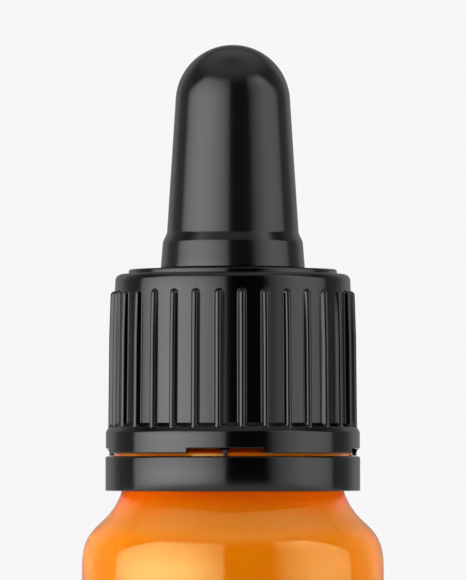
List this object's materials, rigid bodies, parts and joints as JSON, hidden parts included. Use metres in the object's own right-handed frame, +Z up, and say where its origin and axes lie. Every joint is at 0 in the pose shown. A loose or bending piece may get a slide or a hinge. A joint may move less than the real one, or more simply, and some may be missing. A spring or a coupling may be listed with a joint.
{
  "type": "ink bottle",
  "caption": "Lacquered glass ink bottle with a ribbed screw cap, tamper-evident ring, rubber bulb and glass pipette for dropping ink.",
  "frame": {"origin": "centre of the bottle's base, in the plane that it stands on", "axes": "+Z up along the bottle's axis, -Y towards the side with the notch that faces the viewer, +X to the viewer's right"},
  "size_m": [0.0286, 0.0286, 0.0896],
  "materials": {
    "orange_lacquered_glass": "opaque high-gloss lacquer",
    "black_cap_plastic": "satin",
    "black_bulb_rubber": "smooth satin",
    "clear_pipette_glass": "clear polished"
  },
  "bodies": {
    "bottle": {"glass_bottle": "orange_lacquered_glass"},
    "ring": {"tamper_ring": "black_cap_plastic"},
    "dropper": {"glass_pipette": "clear_pipette_glass"},
    "bulb": {"rubber_bulb": "black_bulb_rubber"},
    "cap": {"screw_cap": "black_cap_plastic", "tamper_bridge_1": "black_cap_plastic", "tamper_bridge_2": "black_cap_plastic", "tamper_bridge_3": "black_cap_plastic", "tamper_bridge_4": "black_cap_plastic"}
  },
  "joints": [
    {"name": "tamper_ring_turn", "type": "hinge", "parent": "bottle", "child": "ring", "pos_m": [0, 0, 0.049], "axis": [0, 0, 1], "continuous": true},
    {"name": "dropper_lift", "type": "slide", "parent": "bottle", "child": "dropper", "axis": [0, 0, 1], "range_m": [0, 0.0045]},
    {"name": "cap_turn", "type": "hinge", "parent": "dropper", "child": "cap", "pos_m": [0, 0, 0.0509], "axis": [0, 0, 1], "range_deg": [0, 540]},
    {"name": "bulb_squeeze", "type": "slide", "parent": "dropper", "child": "bulb", "axis": [0, 0, -1], "range_m": [0, 0.004], "stiffness_N_per_m": 1500, "deforming": ["rubber_bulb"]}
  ],
  "couplings": [
    {"joint": "cap_turn", "follows": "dropper_lift", "rad_per_m": 2094.4}
  ]
}
